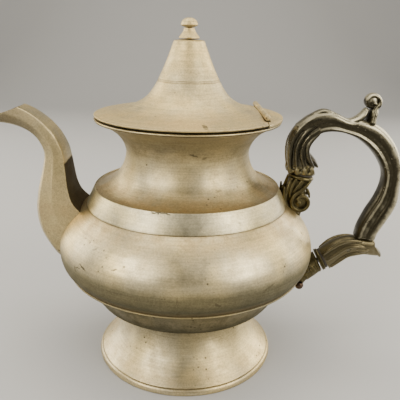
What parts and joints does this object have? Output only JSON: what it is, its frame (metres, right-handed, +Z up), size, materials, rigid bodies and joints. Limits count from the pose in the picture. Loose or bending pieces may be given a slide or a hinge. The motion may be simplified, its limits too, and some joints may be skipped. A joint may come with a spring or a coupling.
{
  "type": "teapot",
  "caption": "Footed pewter teapot with a squat bellied body, banded shoulder, hinged pagoda lid, faceted gooseneck spout and insulated scroll handle.",
  "frame": {"origin": "on the pot's turning axis, in the plane of the foot ring's underside", "axes": "+Z up, +X towards the handle, -X towards the spout, the pot is symmetric about Y = 0"},
  "size_m": [0.2839, 0.1704, 0.228],
  "materials": {
    "pewter": "satin, warm grey with yellowish staining",
    "dull_pewter": "dull oxidised pewter",
    "blackened_metal": "dark patina, worn bright on raised faces",
    "gilt_bronze": "dull olive bronze casting",
    "insulator": "dark horn disc",
    "steel": "plain steel",
    "copper": "browned copper"
  },
  "bodies": {
    "pot": {"foot_ring": "pewter", "foot": "pewter", "body_belly": "pewter", "shoulder_band": "pewter", "neck": "pewter", "neck_rim": "pewter", "spout_half_front": "pewter", "spout_half_back": "pewter", "hinge_leaf": "pewter", "hinge_knuckle_fixed": "pewter", "body_base": "dull_pewter", "handle_grip": "blackened_metal", "handle_thumb_scroll": "blackened_metal", "handle_lower_arm": "blackened_metal", "handle_upper_socket": "gilt_bronze", "handle_upper_collar": "gilt_bronze", "handle_lower_socket": "gilt_bronze", "handle_lower_collar": "gilt_bronze", "handle_upper_insulator": "insulator", "handle_lower_insulator": "insulator", "handle_upper_dowel": "steel", "handle_lower_dowel": "steel", "handle_cross_pin": "steel", "hinge_pin": "steel", "handle_socket_ball": "copper"},
    "lid": {"lid": "pewter", "lid_bezel": "dull_pewter", "lid_knuckle_front": "pewter", "lid_knuckle_back": "pewter", "finial_base": "pewter", "finial_knob": "pewter", "finial_nut": "steel"}
  },
  "joints": [
    {"name": "lid_hinge", "type": "hinge", "parent": "pot", "child": "lid", "pos_m": [0.0468, 0, 0.1727], "axis": [0, 1, 0], "range_deg": [0, 100]}
  ]
}
